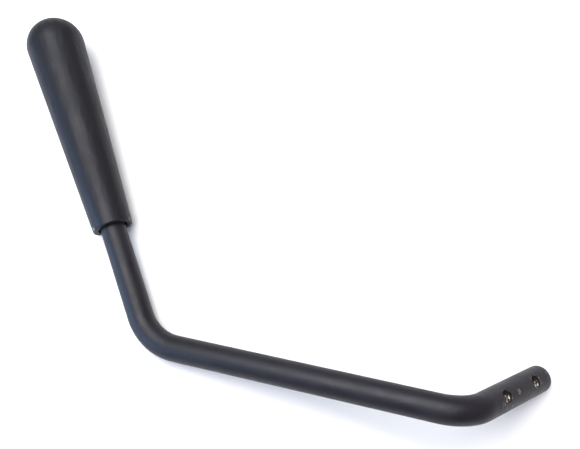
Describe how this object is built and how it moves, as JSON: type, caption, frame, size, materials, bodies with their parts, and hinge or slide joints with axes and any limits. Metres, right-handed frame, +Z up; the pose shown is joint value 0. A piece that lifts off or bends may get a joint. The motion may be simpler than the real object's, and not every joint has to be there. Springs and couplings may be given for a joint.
{
  "type": "winch handle",
  "caption": "Bent round-bar crank handle with a tapered, domed grip that revolves on a turned spindle, and tapped cross holes near its plain end for fastening to a winch.",
  "frame": {"origin": "on the ground under the middle of the bounding box of the handle as it lies when put down, resting on the rim of the grip's mouth, the bend next to it and the bar's cut end", "axes": "+Z up from the ground; +X along the arm's plan, from the grip's bend towards the end that is fixed to the winch; +Y completes a right-handed frame, towards the side on which the grip's dome lies"},
  "size_m": [0.2982, 0.16, 0.048],
  "materials": {
    "bar_coating": "satin black powder coat on steel",
    "grip_plastic": "satin black moulding",
    "bright_steel": "turned and ground",
    "spring_steel": "phosphated spring steel",
    "bush_acetal": "machined natural acetal",
    "seal_rubber": "matte nitrile"
  },
  "bodies": {
    "bar": {"crank_bar": "bar_coating", "mouth_seal": "seal_rubber", "shoulder_washer": "bright_steel", "end_washer": "bright_steel", "wave_washer": "spring_steel", "retaining_ring": "spring_steel"},
    "grip": {"grip_shell": "grip_plastic", "liner_sleeve": "bright_steel", "mouth_bush": "bush_acetal", "inner_bush": "bush_acetal"}
  },
  "joints": [
    {"name": "grip_spin", "type": "hinge", "parent": "bar", "child": "grip", "pos_m": [-0.07426, -0.02331, 0.01006], "axis": [-0.559, 0.8259, 0.0732], "continuous": true}
  ]
}
